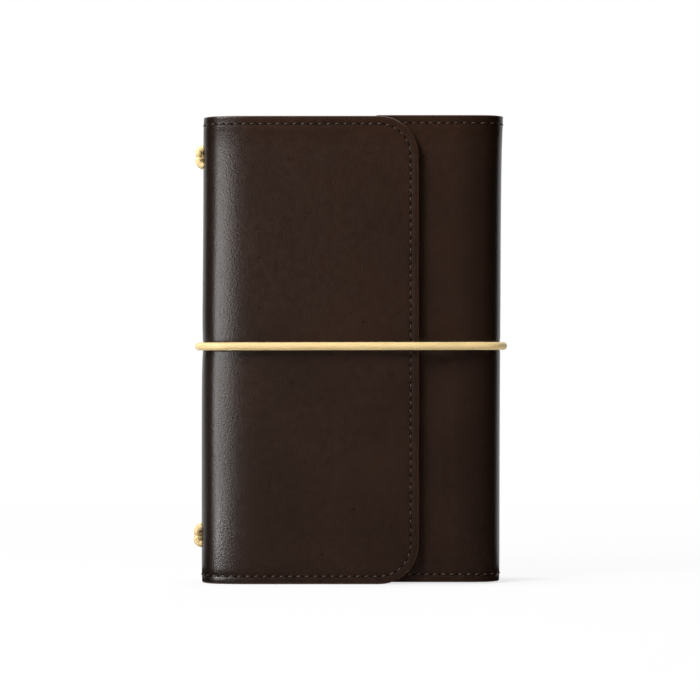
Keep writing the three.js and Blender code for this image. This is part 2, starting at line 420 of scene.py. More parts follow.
@dataclass(frozen=True)
class BraidedElastic:
    """A round elastic with a fine pale gold braided cover. The lay is in millimetres."""

    light: Colour = srgb(243, 215, 156)
    deep: Colour = srgb(227, 190, 122)
    strands: int = 8
    lay: float = 2.4
    strand_height: float = 0.06 * MM
    streak_height: float = 0.08 * MM
    # The strength of the painted shade in the gaps between the strands.
    gap_shade_share: float = 0.35
    deep_share: float = 0.6

    def build(self) -> Material:
        """Builds the elastic's material, on a UV map with turns across and metres along.

        Returns:
            The material.
        """
        shader = Shader("braided_elastic")
        uv = shader.coordinate("UV")
        turns, metres, _ = shader.parts(uv)
        around = shader.maths("MULTIPLY", turns, 2 * math.pi * self.strands)
        along = shader.maths("MULTIPLY", metres, 2 * math.pi * 1000 / self.lay)
        left = shader.maths("SINE", shader.maths("ADD", around, along))
        right = shader.maths("SINE", shader.maths("SUBTRACT", around, along))
        weave = shader.maths("MAXIMUM", left, right)
        streak = shader.noise(shader.scaled(uv, (26, 120, 1)), scale=1.0, detail=3)
        # Painted shade: the gaps between the braid's strands are darkened; the streaks are the braid's own
        # uneven tone.
        strand_gap_shade = shader.maths("MULTIPLY", shader.ramp(weave, 0.9, -0.3), self.gap_shade_share)
        streak_and_gap_shade = shader.maths("ADD", strand_gap_shade, shader.ramp(streak, 0.4, 0.75))
        base = shader.blend(shader.maths("MULTIPLY", streak_and_gap_shade, self.deep_share), self.light, self.deep)
        normal = shader.bump(weave, self.strand_height, strength=0.5)
        normal = shader.bump(streak, self.streak_height, strength=0.4, under=normal)
        return shader.finish(
            Base_Color=base, Roughness=0.5, Normal=normal, Sheen_Weight=0.15, Specular_IOR_Level=0.4
        )


@dataclass(frozen=True)
class FibreCard:
    """Uncoated card with short fibres."""

    light: Colour = srgb(196, 164, 122)
    dark: Colour = srgb(164, 130, 92)
    fleck: Colour = srgb(120, 90, 62)
    fleck_share: float = 0.5
    fibre_height: float = 0.04 * MM

    def build(self) -> Material:
        """Builds the card's material.

        Returns:
            The material.
        """
        shader = Shader("fibre_card")
        place = shader.millimetres("Object")
        fibres = shader.noise(shader.scaled(place, (0.6, 2.0, 2.0)), scale=1.3, detail=5)
        specks = shader.noise(place, scale=2.4, detail=2)
        base = shader.tone(fibres, (0.35, 0.68), self.light, self.dark)
        flecks = shader.maths("MULTIPLY", shader.ramp(specks, 0.66, 0.74), self.fleck_share)
        base = shader.blend(flecks, base, self.fleck)
        normal = shader.bump(fibres, self.fibre_height, strength=0.4)
        return shader.finish(Base_Color=base, Roughness=0.85, Normal=normal, Specular_IOR_Level=0.25)


@dataclass(frozen=True)
class LeafPaper:
    """Cream paper: plain on a page, fine lines where the edges of its 0.11 mm leaves show."""

    light: Colour = srgb(246, 239, 222)
    dark: Colour = srgb(206, 195, 170)
    leaf: float = 0.11
    leaf_height: float = 0.12 * MM
    fibre_share: float = 0.12

    def build(self) -> Material:
        """Builds the paper's material, on a UV map with the place in the stack across.

        Returns:
            The material.
        """
        shader = Shader("leaf_paper")
        stack = shader.scaled(shader.millimetres("UV"), (1 / self.leaf, 0.02, 1))
        leaves = shader.noise(stack, scale=0.5, detail=2)
        fibres = shader.noise(shader.millimetres("Object"), scale=3.0, detail=3)
        base = shader.tone(leaves, (0.4, 0.62), self.dark, self.light)
        base = shader.blend(shader.maths("MULTIPLY", fibres, self.fibre_share), base, self.dark)
        normal = shader.bump(leaves, self.leaf_height, strength=0.6)
        return shader.finish(Base_Color=base, Roughness=0.9, Normal=normal, Specular_IOR_Level=0.2)


@dataclass(frozen=True)
class StapleWire:
    """Drawn steel wire."""

    light: Colour = srgb(196, 198, 202)
    dark: Colour = srgb(168, 170, 176)
    roughness: float = 0.22
    roughness_spread: float = 0.2

    def build(self) -> Material:
        """Builds the wire's material.

        Returns:
            The material.
        """
        shader = Shader("staple_wire")
        scratch = shader.noise(shader.millimetres("Object"), scale=4.0, detail=3)
        base = shader.blend(scratch, self.light, self.dark)
        rough = shader.maths("MULTIPLY_ADD", scratch, self.roughness_spread, self.roughness)
        return shader.finish(Base_Color=base, Roughness=rough, Metallic=1.0)


@dataclass(frozen=True)
class Finishes:
    """Every finish of the journal, built once."""

    leather: Material
    lining: Material
    edge: Material
    thread: Material
    # The painted shade of the stitch holes.
    hole: Material
    elastic: Material
    card: Material
    paper: Material
    wire: Material

    @classmethod
    def build(cls, folds: tuple[tuple[float, float], ...], height: float) -> "Finishes":
        """Makes all the finishes.

        Args:
            folds: The stretches of the flat cover that get painted shade on the leather.
            height: The cover's height, near whose top the leather is worn dull.

        Returns:
            The finishes.
        """
        return cls(
            leather=WrapLeather(folds, height).build(),
            lining=SuedeLining().build(),
            edge=BurnishedEdge().build(),
            thread=WaxedThread().build(),
            hole=AwlHoleShade().build(),
            elastic=BraidedElastic().build(),
            card=FibreCard().build(),
            paper=LeafPaper().build(),
            wire=StapleWire().build(),
        )


# Meshes


def make_object(
    name: str, mesh_data: BMesh, materials: Sequence[Material], sharp: float = 180
) -> Piece:
    """Turns a bmesh into a smooth-shaded object at the origin.

    Args:
        name: The piece's name.
        mesh_data: The bmesh, which is freed.
        materials: The material slots in order.
        sharp: The angle in degrees past which an edge stays sharp, 180 for none.

    Returns:
        The new object.
    """
    mesh = bpy.data.meshes.new(name)
    mesh_data.to_mesh(mesh)
    mesh_data.free()
    for material in materials:
        mesh.materials.append(material)
    mesh.shade_smooth()
    mesh.set_sharp_from_angle(angle=math.radians(sharp))
    piece = bpy.data.objects.new(name, mesh)
    bpy.context.scene.collection.objects.link(piece)
    return piece


def bisect(mesh_data: BMesh, point: Sequence[float], normal: Sequence[float], clear: bool = False) -> None:
    """Cuts a bmesh by a plane.

    Args:
        mesh_data: The bmesh.
        point: A point on the plane.
        normal: The plane's normal.
        clear: Whether what lies on the normal's side is taken away.
    """
    bmesh.ops.bisect_plane(
        mesh_data, geom=[*mesh_data.verts, *mesh_data.edges, *mesh_data.faces], dist=1e-7,
        plane_co=point, plane_no=normal, clear_outer=clear,
    )


def frames_along(points: Sequence[Vector], closed: bool) -> list[Matrix]:
    """Frames that follow a line without twisting, each with its Z along the line.

    Args:
        points: The line's points.
        closed: Whether the line comes back to its start.

    Returns:
        One matrix for each point.
    """
    count = len(points)
    tangents = []
    for i in range(count):
        before = points[i - 1] if closed or i > 0 else points[0]
        after = points[(i + 1) % count] if closed or i < count - 1 else points[-1]
        tangents.append((after - before).normalized())
    side = tangents[0].orthogonal().normalized()
    sides = [side]
    for previous, current in zip(tangents, tangents[1:]):
        side = previous.rotation_difference(current) @ side
        sides.append(side.normalized())
    twist = 0.0
    if closed:
        back = tangents[-1].rotation_difference(tangents[0]) @ sides[-1]
        twist = math.atan2(back.cross(sides[0]).dot(tangents[0]), back.dot(sides[0]))
    matrices = []
    for i, (point, tangent, side) in enumerate(zip(points, tangents, sides)):
        side = Matrix.Rotation(twist * i / count, 3, tangent) @ side
        across = tangent.cross(side)
        matrix = Matrix((side, across, tangent)).transposed().to_4x4()
        matrix.translation = point
        matrices.append(matrix)
    return matrices


def sweep(points: Sequence[Vector], radius: float, sides: int, closed: bool = False) -> BMesh:
    """A round tube along a line, with a UV map of turns across and metres along.

    Args:
        points: The tube's centreline.
        radius: The tube's radius.
        sides: The number of sides.
        closed: Whether the tube comes back to its start.

    Returns:
        The tube's bmesh.
    """
    tube = bmesh.new()
    ring_layer = tube.verts.layers.int.new("ring")
    spoke_layer = tube.verts.layers.int.new("spoke")
    frames = frames_along(points, closed)
    start = bmesh.ops.create_circle(tube, segments=sides, radius=radius, matrix=frames[0])["verts"]
    for spoke, vert in enumerate(start):
        vert[spoke_layer] = spoke
    edges: list[BMEdge] = list(tube.edges)
    first = list(edges)
    for ring, (previous, current) in enumerate(zip(frames, frames[1:]), 1):
        made = bmesh.ops.extrude_edge_only(tube, edges=edges)["geom"]
        verts = [e for e in made if isinstance(e, BMVert)]
        edges = [e for e in made if isinstance(e, BMEdge) and all(v in verts for v in e.verts)]
        bmesh.ops.transform(tube, matrix=current @ previous.inverted(), verts=verts)
        for vert in verts:
            vert[ring_layer] = ring
    if closed:
        bmesh.ops.bridge_loops(tube, edges=first + edges)
    else:
        bmesh.ops.holes_fill(tube, edges=first + edges, sides=0)
    bmesh.ops.recalc_face_normals(tube, faces=tube.faces)
    lengths = [0.0]
    for before, after in zip(points, [*points[1:], points[0]]):
        lengths.append(lengths[-1] + (after - before).length)
    uv_layer = tube.loops.layers.uv.new("UVMap")
    for face in tube.faces:
        last_ring = closed and {v[ring_layer] for v in face.verts} == {0, len(points) - 1}
        last_spoke = {v[spoke_layer] for v in face.verts} == {0, sides - 1}
        for loop in face.loops:
            ring = loop.vert[ring_layer]
            spoke = loop.vert[spoke_layer]
            if last_ring and ring == 0:
                ring = len(points)
            if last_spoke and spoke == 0:
                spoke = sides
            loop[uv_layer].uv = (spoke / sides, lengths[ring])
    return tube


def smooth(value: float, start: float, end: float) -> float:
    """A soft step from 0 at the start to 1 at the end."""
    share = min(max((value - start) / (end - start), 0.0), 1.0)
    return share * share * (3 - 2 * share)


def bell(distance: float, width: float) -> float:
    """1 in the middle, falling off to 0 within a few widths."""
    return math.exp(-((distance / width) ** 2))


def stamp(target: BMesh, mesh_data: BMesh, places: Iterable[Matrix], material_index: int = 0) -> None:
    """Adds moved copies of a shape to a bmesh.

    Args:
        target: The bmesh that the copies go into.
        mesh_data: The shape, which is freed.
        places: The copies' places.
        material_index: The material slot of the copies' faces.
    """
    for face in mesh_data.faces:
        face.material_index = material_index
    shape = bpy.data.meshes.new("shape")
    mesh_data.to_mesh(shape)
    mesh_data.free()
    for place in places:
        copy = shape.copy()
        copy.transform(place)
        target.from_mesh(copy, face_normals=False, vertex_normals=False)
        bpy.data.meshes.remove(copy)
    bpy.data.meshes.remove(shape)


def through(points: Sequence[Vector], steps: int) -> list[Vector]:
    """A smooth line through points.

    Args:
        points: The points to pass through.
        steps: The number of steps between two of them.

    Returns:
        The line's points.
    """
    found = []
    for i in range(len(points) - 1):
        before, start, end = points[max(i - 1, 0)], points[i], points[i + 1]
        after = points[min(i + 2, len(points) - 1)]
        for step in range(steps):
            t = step / steps
            found.append(0.5 * (
                2 * start + (end - before) * t
                + (2 * before - 5 * start + 4 * end - after) * t * t
                + (3 * start - before - 3 * end + after) * t * t * t
            ))
    return [*found, points[-1]]


def arc_points(centre: Vector, radius: float, start: float, end: float, steps: int) -> list[Vector]:
    """Points on an arc in a plane.

    Args:
        centre: The arc's centre, in the plane.
        radius: The arc's radius.
        start: The first angle in degrees.
        end: The last angle in degrees.
        steps: The number of steps.

    Returns:
        The points, in the plane.
    """
    points = []
    for i in range(steps + 1):
        angle = math.radians(start + (end - start) * i / steps)
        points.append(centre + radius * Vector((math.cos(angle), math.sin(angle))))
    return points


# The cover


@dataclass(frozen=True)
class CoverSizes:
    """The cover's sizes in metres, most of them read from the frame."""

    spine_x: float
    fore_edge_x: float
    front_y: float
    back_y: float
    flap_y: float
    front_edge_x: float
    flap_edge_x: float
    height: float
    fold_radius: float = 9 * MM
    flap_fold_radius: float = 8 * MM
    front_corner: float = 14.6 * MM
    flap_corner: float = 6 * MM
    leather: float = 1.5 * MM
    glue: float = 0.1 * MM
    lining: float = 1 * MM

    @property
    def wall(self) -> float:
        """The cover's whole thickness."""
        return self.leather + self.glue + self.lining

    @classmethod
    def from_frame(cls) -> "CoverSizes":
        """Reads the sizes from the CAD nodes' boxes.

        Returns:
            The sizes.
        """
        front_low, front_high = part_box("front_panel_leather")
        flap_low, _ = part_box("wrap_flap_leather")
        return cls(
            spine_x=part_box("spine_leather")[0].x,
            fore_edge_x=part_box("fore_edge_leather")[1].x,
            front_y=front_low.y,
            back_y=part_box("back_panel_leather")[1].y,
            flap_y=flap_low.y,
            front_edge_x=front_high.x,
            flap_edge_x=flap_low.x,
            height=front_high.z,
        )


@dataclass(frozen=True)
class Stretch:
    """One straight or round stretch of the cover's section."""

    start: Vector
    length: float
    heading: float
    radius: float = 0.0

    def at(self, distance: float) -> tuple[Vector, Vector]:
        """A point of the stretch and the outward normal there.

        Args:
            distance: The distance from the stretch's start.

        Returns:
            The point and the normal, both in the XY plane.
        """
        if not self.radius:
            direction = Vector((math.cos(self.heading), math.sin(self.heading)))
            return self.start + direction * distance, Vector((direction.y, -direction.x))
        first = Vector((math.sin(self.heading), -math.cos(self.heading)))
        angle = self.heading + distance / self.radius
        normal = Vector((math.sin(angle), -math.cos(angle)))
        return self.start + self.radius * (normal - first), normal


class Outline:
    """Straight and round stretches laid end to end."""

    def __init__(self, start: Vector, turns: Iterable[tuple[float, float]]) -> None:
        """Lays the stretches.

        Args:
            start: The first point, which the outline leaves along X.
            turns: Each stretch's length and radius, which is 0 for a straight one.
        """
        self.stretches: list[Stretch] = []
        self.starts: list[float] = []
        self.length = 0.0
        point, heading = start, 0.0
        for length, radius in turns:
            stretch = Stretch(point, length, heading, radius)
            self.stretches.append(stretch)
            self.starts.append(self.length)
            point = stretch.at(length)[0]
            heading += length / radius if radius else 0.0
            self.length += length

    def at(self, distance: float) -> tuple[Vector, Vector]:
        """The point at a distance from the start, and the outward normal there."""
        index = max(i for i, start in enumerate(self.starts) if start <= max(distance, 0.0))
        return self.stretches[index].at(distance - self.starts[index])


class WrapPath(Outline):
    """The section of the cover's outer face, from the flap's tip round the back to the front panel's edge."""

    wave: float = 0.1 * MM
    wave_turns: tuple[float, float] = (28, 22)
    wave_place: float = 0.37
    seam_calm: float = 9 * MM
    cord_press: float = 0.3 * MM
    cord_press_width: float = 1.5 * MM
    flap_rise: float = 0.55 * MM
    front_ease: tuple[float, float] = (40 * MM, math.radians(16))
    flap_ease: tuple[float, float] = (30 * MM, math.radians(8))
    edge_roll: float = 0.22 * MM
    edge_roll_reach: float = 3.2 * MM
    head_roll: float = 0.42 * MM
    head_roll_reach: float = 6.5 * MM
    inner_calm: float = 0.65
    fold_zone: tuple[float, float] = (44 * MM, 51 * MM)
    spine_pinch: float = 0.25 * MM
    spine_pinch_width: float = 6 * MM
    spine_lean: tuple[float, float] = (-0.38 * MM, 0.24 * MM)
    spine_lean_span: tuple[float, float] = (0.3, 0.9)
    upper_flare: float = 0.18 * MM
    upper_flare_span: tuple[float, float] = (0.35, 0.65)
    lower_draw: float = 0.12 * MM
    lower_draw_span: tuple[float, float] = (0.5, 0.1)
    head_flares: tuple[tuple[float, float], ...] = ((0.8 * MM, 6), (0.4 * MM, 30))
    fold_step: float = 1.1 * MM
    flat_step: float = 4 * MM
    widest_fold: float = 20 * MM

    def __init__(self, sizes: CoverSizes, cord_z: float) -> None:
        """Lays the stretches end to end.

        Args:
            sizes: The cover's sizes.
            cord_z: The height of the closure cord, which presses a line into the leather.
        """
        self.cord_z = cord_z
        self.height = sizes.height
        self.wall, self.lining = sizes.wall, sizes.lining
        fold, flap_fold = sizes.fold_radius, sizes.flap_fold_radius
        quarter = math.pi / 2
        slow, easing = self.front_ease
        flap_slow, flap_easing = self.flap_ease
        front_turn, flap_turn = quarter - easing, quarter - flap_easing
        front_run = fold * (1 - math.cos(front_turn)) + slow * math.sin(easing)
        front_rise = fold * math.sin(front_turn) + slow * (1 - math.cos(easing))
        flap_run = flap_fold * (1 - math.cos(flap_turn)) + flap_slow * math.sin(flap_easing)
        flap_rise = flap_fold * math.sin(flap_turn) + flap_slow * (1 - math.cos(flap_easing))
        turns = [
            (sizes.fore_edge_x - flap_run - sizes.flap_edge_x, 0.0),
            (flap_easing * flap_slow, flap_slow),
            (flap_turn * flap_fold, flap_fold),
            (sizes.back_y - fold - sizes.flap_y - flap_rise, 0.0),
            (quarter * fold, fold),
            (sizes.fore_edge_x - sizes.spine_x - 2 * fold, 0.0),
            (quarter * fold, fold),
            (sizes.back_y - fold - sizes.front_y - front_rise, 0.0),
            (front_turn * fold, fold),
            (easing * slow, slow),
            (sizes.front_edge_x - sizes.spine_x - front_run, 0.0),
        ]
        super().__init__(Vector((sizes.flap_edge_x, sizes.flap_y)), turns)
        self.seams = [self.starts[i] + self.stretches[i].length / 2 for i in (3, 5, 7)]
        self.round_sides = tuple((self.starts[i], self.starts[i + 3]) for i in (2, 6))

    def relief(self, distance: float, z: float) -> float:
        """How far the leather stands out of its plain section.

        Args:
            distance: The distance from the flap's tip.
            z: The height.

        Returns:
            The relief in metres.
        """
        along, up = self.wave_turns
        calm = min(min(abs(distance - seam) for seam in self.seams) / self.seam_calm, 1.0) ** 2
        wave = noise.noise(Vector((distance * along, z * up, self.wave_place))) * self.wave * calm
        press = bell(z - self.cord_z, self.cord_press_width) * self.cord_press
        near_edge = min(max(z, 0.0), max(self.height - z, 0.0))
        return wave - press - math.exp(-near_edge / self.edge_roll_reach) * self.edge_roll

    def rise(self, distance: float) -> float:
        """How much higher the wrap sits than the front panel, most at the flap."""
        return self.flap_rise * smooth(distance, self.seams[2], self.starts[4])

    def settle(self, place: Vector) -> Vector:
        """Moves a point of the two round sides by the leather's slight lean.

        Args:
            place: The point.

        Returns:
            The moved point.
        """
        share = place.z / self.height
        tail, head = self.spine_lean
        lean = tail + (head - tail) * smooth(share, *self.spine_lean_span)
        lean += bell(place.z - self.cord_z, self.spine_pinch_width) * self.spine_pinch
        flare = self.upper_flare * smooth(share, *self.upper_flare_span)
        flare -= self.lower_draw * smooth(share, *self.lower_draw_span)
        flare += sum(amount * math.exp((share - 1) * fall) for amount, fall in self.head_flares)
        shift = lean * smooth(-place.x, *self.fold_zone) + flare * smooth(place.x, *self.fold_zone)
        return place + Vector((shift, 0, 0))

    def wrap(self, flat: Vector) -> Vector:
        """Takes a point of the flat cover to its place.

        Args:
            flat: The distance from the flap's tip, the height, and the height above the outer face.

        Returns:
            The point in the frame.
        """
        point, normal = self.at(flat.x)
        roll = math.exp(min(flat.y - self.height, 0.0) / self.head_roll_reach) * self.head_roll
        relief = self.relief(flat.x, flat.y) - roll * max(-normal.y, 0.0)
        inner_share = smooth(-flat.z, self.wall - self.lining, self.wall)
        place = point + normal * (flat.z + relief * (1 - self.inner_calm * inner_share))
        return self.settle(Vector((place.x, place.y, flat.y + self.rise(flat.x))))

    def cuts(self) -> list[float]:
        """Divides the flat cover, finely on the folds.

        Returns:
            The distances at which it is cut across.
        """
        found = []
        for start, stretch in zip(self.starts, self.stretches):
            step = self.fold_step if 0 < stretch.radius < self.widest_fold else self.flat_step
            count = max(1, round(stretch.length / step))
            found += [start + stretch.length * i / count for i in range(count)]
        return found[1:]


@dataclass(frozen=True)
class SheetLayer:
    """One layer of the cover: its material, the depths of its two faces and its rounded rim."""

    name: str
    slot: Slot
    material: Material
    top: float
    bottom: float
    rim: float
    grooved: Side


@dataclass(frozen=True)
class Strip:
    """A stretch of the cover that bends across one fold."""

    name: str
    start: float
    end: float
    bodies: tuple[str, str]
    joint: str
    bend_heading: Vector
    nodes: tuple[str, ...]


@dataclass
class WrapCover:
    """The whole cover: outer leather, lining and stitching, in four strips that meet on its flat places."""

    sizes: CoverSizes
    path: WrapPath
    finishes: Finishes
    rim: float = 0.34 * MM
    lining_rim: float = 0.2 * MM
    rim_steps: int = 3
    corner_steps: int = 12
    sharp_angle: float = 42
    overrun: float = 1 * MM
    groove_inset: float = 2.92 * MM
    groove_width: float = 0.55 * MM
    groove_depth: float = 0.14 * MM
    stitch_pitch: float = 3.1 * MM
    thread_width: float = 0.5 * MM
    thread_height: float = 0.54 * MM
    thread_lift: float = 0.15 * MM
    thread_share: float = 0.46
    thread_slant: float = 13.0
    # The stitch holes are dark ovals of painted shade on the groove.
    hole_length: float = 1.35 * MM
    hole_width: float = 0.95 * MM
    hole_height: float = 0.34 * MM
    hole_slant: float = -38.0
    height_step: float = 6 * MM
    press_step: float = 0.6 * MM
    press_reach: float = 4.2 * MM
    bend_reach: float = 4.5 * MM
    retaining_cord: float = 2.2 * MM
    closure_cord: float = 3 * MM
    cord_clearance: float = 0.3 * MM

    def strips(self) -> list[Strip]:
        """Divides the cover at its seams.

        Returns:
            The four strips, each across one fold.
        """
        fore_edge, back, spine = self.path.seams
        end = self.path.length + self.overrun
        return [
            Strip("flap_wrap", -self.overrun, fore_edge, ("wrap_flap", "fore_edge"), "wrap_flap_fold",
                  Vector((1, 1, 0)), ("fore_edge", "wrap_flap")),
            Strip("fore_edge_wrap", fore_edge, back, ("fore_edge", "root"), "fore_edge_fold",
                  Vector((-1, 1, 0)), ("fore_edge", "back_panel")),
            Strip("back_wrap", back, spine, ("root", "spine"), "spine_fold",
                  Vector((-1, -1, 0)), ("back_panel", "spine")),
            Strip("front_wrap", spine, end, ("spine", "front_cover"), "front_cover_fold",
                  Vector((1, -1, 0)), ("spine", "front_panel")),
        ]

    def layers(self) -> list[SheetLayer]:
        """Lays out the cover's thickness.

        Returns:
            The outer leather and the lining.
        """
        sizes, finishes = self.sizes, self.finishes
        leather = (Slot.LEATHER, finishes.leather, 0.0, sizes.leather, self.rim, Side.OUTER)
        inside = sizes.leather + sizes.glue
        lining = (Slot.LINING, finishes.lining, inside, sizes.wall, self.lining_rim, Side.INNER)
        return [SheetLayer("leather", *leather), SheetLayer("lining", *lining)]

    def stitch_row(self) -> Outline:
        """Lays out the rounded rectangle that the stitches follow round the flat cover.

        Returns:
            The row's outline.
        """
        front, flap = self.sizes.front_corner, self.sizes.flap_corner
        across = self.path.length - front - flap
        front_up, flap_up = self.sizes.height - 2 * front, self.sizes.height - 2 * flap
        turns: list[tuple[float, float]] = []
        for straight, corner in ((across, front), (front_up, front), (across, flap), (flap_up, flap)):
            bend = corner - self.groove_inset
            turns += [(straight, 0.0), (bend * math.pi / 2, bend)]
        return Outline(Vector((flap, self.groove_inset)), turns)

    def flat_layer(self, layer: SheetLayer) -> BMesh:
        """One layer of the cover, flat, with its rounded rim, stitch groove and cuts.

        Args:
            layer: The layer.

        Returns:
            The flat layer's bmesh.
        """
        sizes = self.sizes
        length, height = self.path.length, sizes.height
        sheet = bmesh.new()
        bmesh.ops.create_grid(sheet, x_segments=1, y_segments=1, size=0.5)
        bmesh.ops.scale(sheet, vec=(length, height, 1), verts=sheet.verts)
        bmesh.ops.translate(sheet, vec=(length / 2, height / 2, -layer.bottom), verts=sheet.verts)
        for edge_x, corner in ((0.0, sizes.flap_corner), (length, sizes.front_corner)):
            bmesh.ops.bevel(
                sheet, geom=[vert for vert in sheet.verts if abs(vert.co.x - edge_x) < MM], offset=corner,
                segments=self.corner_steps, profile=0.5, affect="VERTICES", material=-1,
            )
        made = bmesh.ops.extrude_face_region(sheet, geom=list(sheet.faces))["geom"]
        raised = [e for e in made if isinstance(e, BMVert)]
        bmesh.ops.translate(sheet, vec=(0, 0, layer.bottom - layer.top), verts=raised)
        bmesh.ops.recalc_face_normals(sheet, faces=sheet.faces)
        rims = [e for e in sheet.edges if {abs(round(f.normal.z)) for f in e.link_faces} == {0, 1}]
        bmesh.ops.bevel(
            sheet, geom=rims, offset=layer.rim, segments=self.rim_steps, profile=0.5, affect="EDGES",
            material=-1,
        )
        broad = sorted(sheet.faces, key=lambda face: face.calc_area())[-2:]
        for face in sheet.faces:
            face.material_index = 0 if face in broad else 1
        outward = 1 if layer.grooved is Side.OUTER else -1
        self.press_groove(sheet, max(broad, key=lambda face: face.normal.z * outward), layer.rim, outward)
        sheet = self.spine_holes(sheet)
        self.cut_flat(sheet)
        uv_layer = sheet.loops.layers.uv.new("UVMap")
        for face in sheet.faces:
            for loop in face.loops:
                loop[uv_layer].uv = loop.vert.co.xy
        return sheet

    def press_groove(self, sheet: BMesh, face: BMFace, rim: float, outward: int) -> None:
        """Presses the stitch groove into a broad face.

        Args:
            sheet: The flat layer.
            face: The broad face.
            rim: The width of the rounded rim outside it.
            outward: 1 if the face looks up, -1 if it looks down.
        """
        margin = self.groove_inset - self.groove_width - rim
        depth, width = self.groove_depth * outward, self.groove_width
        for thickness, step in ((margin, 0.0), (width, -depth), (width, depth)):
            bmesh.ops.inset_region(sheet, faces=[face], thickness=thickness, use_even_offset=True)
            bmesh.ops.translate(sheet, vec=(0, 0, step), verts=face.verts)

    def spine_holes(self, sheet: BMesh) -> BMesh:
        """Cuts the spine's three oval cord holes through a flat layer.

        Args:
            sheet: The flat layer, which is freed.

        Returns:
            The layer with the holes.
        """
        punches = bmesh.new()
        seam = self.path.seams[2]
        middle = seam + self.path.at(seam)[0].y
        for cord, node in ((self.retaining_cord, "head_knot"), (self.closure_cord, "closure_knot"),
                           (self.retaining_cord, "tail_knot")):
            place = Vector((middle, middle_z(node) - self.path.rise(middle), 0))
            across, up = cord + 2 * self.cord_clearance, cord / 2 + 2 * self.cord_clearance
            punch = bmesh.new()
            bmesh.ops.create_cone(
                punch, cap_ends=True, segments=32, radius1=1, radius2=1, depth=4 * self.sizes.wall
            )
            bmesh.ops.scale(punch, vec=(across, up, 1), verts=punch.verts)
            stamp(punches, punch, [Matrix.Translation(place)], 1)
        looks = [self.finishes.leather, self.finishes.edge]
        plain = make_object("plain_layer", sheet, looks)
        cutter = make_object("punches", punches, looks)
        boolean = plain.modifiers.new("holes", "BOOLEAN")
        boolean.operation = "DIFFERENCE"
        boolean.solver = "EXACT"
        boolean.object = cutter
        evaluated = plain.evaluated_get(bpy.context.evaluated_depsgraph_get())
        punched = bmesh.new()
        punched.from_mesh(evaluated.to_mesh())
        evaluated.to_mesh_clear()
        for piece in (plain, cutter):
            mesh = piece.data
            bpy.data.objects.remove(piece)
            bpy.data.meshes.remove(mesh)
        return punched

    def cut_flat(self, sheet: BMesh) -> None:
        """Cuts a flat layer across and along, so that it can bend.

        Args:
            sheet: The flat layer.
        """
        for distance in self.path.cuts():
            bisect(sheet, (distance, 0, 0), (1, 0, 0))
        rows = round(self.sizes.height / self.height_step)
        heights = [self.sizes.height * i / rows for i in range(1, rows)]
        heights = [z for z in heights if abs(z - self.path.cord_z) > self.press_reach]
        reach = round(self.press_reach / self.press_step)
        heights += [self.path.cord_z + self.press_step * i for i in range(-reach, reach + 1)]
        for z in heights:
            bisect(sheet, (0, z, 0), (0, 1, 0))

    def cut_strip(self, flat: BMesh, strip: Strip) -> BMesh:
        """Takes one strip out of a flat layer, closes its ends and wraps it into place.

        Args:
            flat: The flat layer.
            strip: The strip.

        Returns:
            The strip's bmesh.
        """
        piece = flat.copy()
        bisect(piece, (strip.start, 0, 0), (-1, 0, 0), clear=True)
        bisect(piece, (strip.end, 0, 0), (1, 0, 0), clear=True)
        open_edges = [edge for edge in piece.edges if edge.is_boundary]
        if open_edges:
            bmesh.ops.holes_fill(piece, edges=open_edges, sides=0)
        for vert in piece.verts:
            vert.co = self.path.wrap(vert.co)
        return piece

    def bend(self, piece: Piece, strip: Strip) -> None:
        """Bakes a piece's place into its mesh.

        Args:
            piece: The finished piece.
            strip: The strip that it belongs to; not used.
        """
        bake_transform(piece)

    def stitches(self, strip: Strip, side: Side) -> Piece:
        """The threads and their holes on one face of a strip.

        Args:
            strip: The strip.
            side: The face.

        Returns:
            The stitch row's object.
        """
        row = self.stitch_row()
        count = round(row.length / self.stitch_pitch)
        pitch = row.length / count
        outward = 1 if side is Side.OUTER else -1
        face = (0 if side is Side.OUTER else -self.sizes.wall) - outward * self.groove_depth
        thread = bmesh.new()
        lying = Matrix.Rotation(math.pi / 2, 4, "Y")
        bmesh.ops.create_uvsphere(thread, u_segments=8, v_segments=6, radius=0.5, matrix=lying)
        # Each hole is a dark oval on the groove: painted shade for its mouth.
        hole = bmesh.new()
        bmesh.ops.create_uvsphere(hole, u_segments=10, v_segments=6, radius=0.5)
        thread_size = (pitch * self.thread_share, self.thread_width, self.thread_height)
        hole_size = (self.hole_length, self.hole_width, self.hole_height)
        rows = bmesh.new()
        for slot, (shape, size, phase, slant, lift) in enumerate([
            (thread, thread_size, 0.5, self.thread_slant, self.thread_lift),
            (hole, hole_size, 0.0, self.hole_slant, 0.0),
        ]):
            bmesh.ops.scale(shape, vec=size, verts=shape.verts)
            places = []
            for i in range(count):
                point, normal = row.at((i + phase) * pitch)
                if strip.start <= point.x < strip.end:
                    angle = math.atan2(normal.x, -normal.y) + math.radians(slant) * outward
                    place = Matrix.Translation((point.x, point.y, face + outward * lift))
                    places.append(place @ Matrix.Rotation(angle, 4, "Z"))
            stamp(rows, shape, places, slot)
        for vert in rows.verts:
            vert.co = self.path.wrap(vert.co)
        name = f"{strip.name}_{side.value}_stitches"
        return make_object(name, rows, [self.finishes.thread, self.finishes.hole])

    def build(self) -> list[Piece]:
        """Builds every piece of the cover.

        Returns:
            The finished pieces.
        """
        flats = [(layer, self.flat_layer(layer)) for layer in self.layers()]
        pieces = []
        for strip in self.strips():
            made = []
            for layer, flat in flats:
                looks = [layer.material, self.finishes.edge]
                name = f"{strip.name}_{layer.name}"
                sheet = make_object(name, self.cut_strip(flat, strip), looks, self.sharp_angle)
                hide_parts(*[f"{node}_{layer.name}" for node in strip.nodes])
                made.append(sheet)
            for side in Side:
                row = self.stitches(strip, side)
                made.append(row)
            for piece in made:
                self.bend(piece, strip)
            pieces += made
        for _, flat in flats:
            flat.free()
        return pieces


# Cords


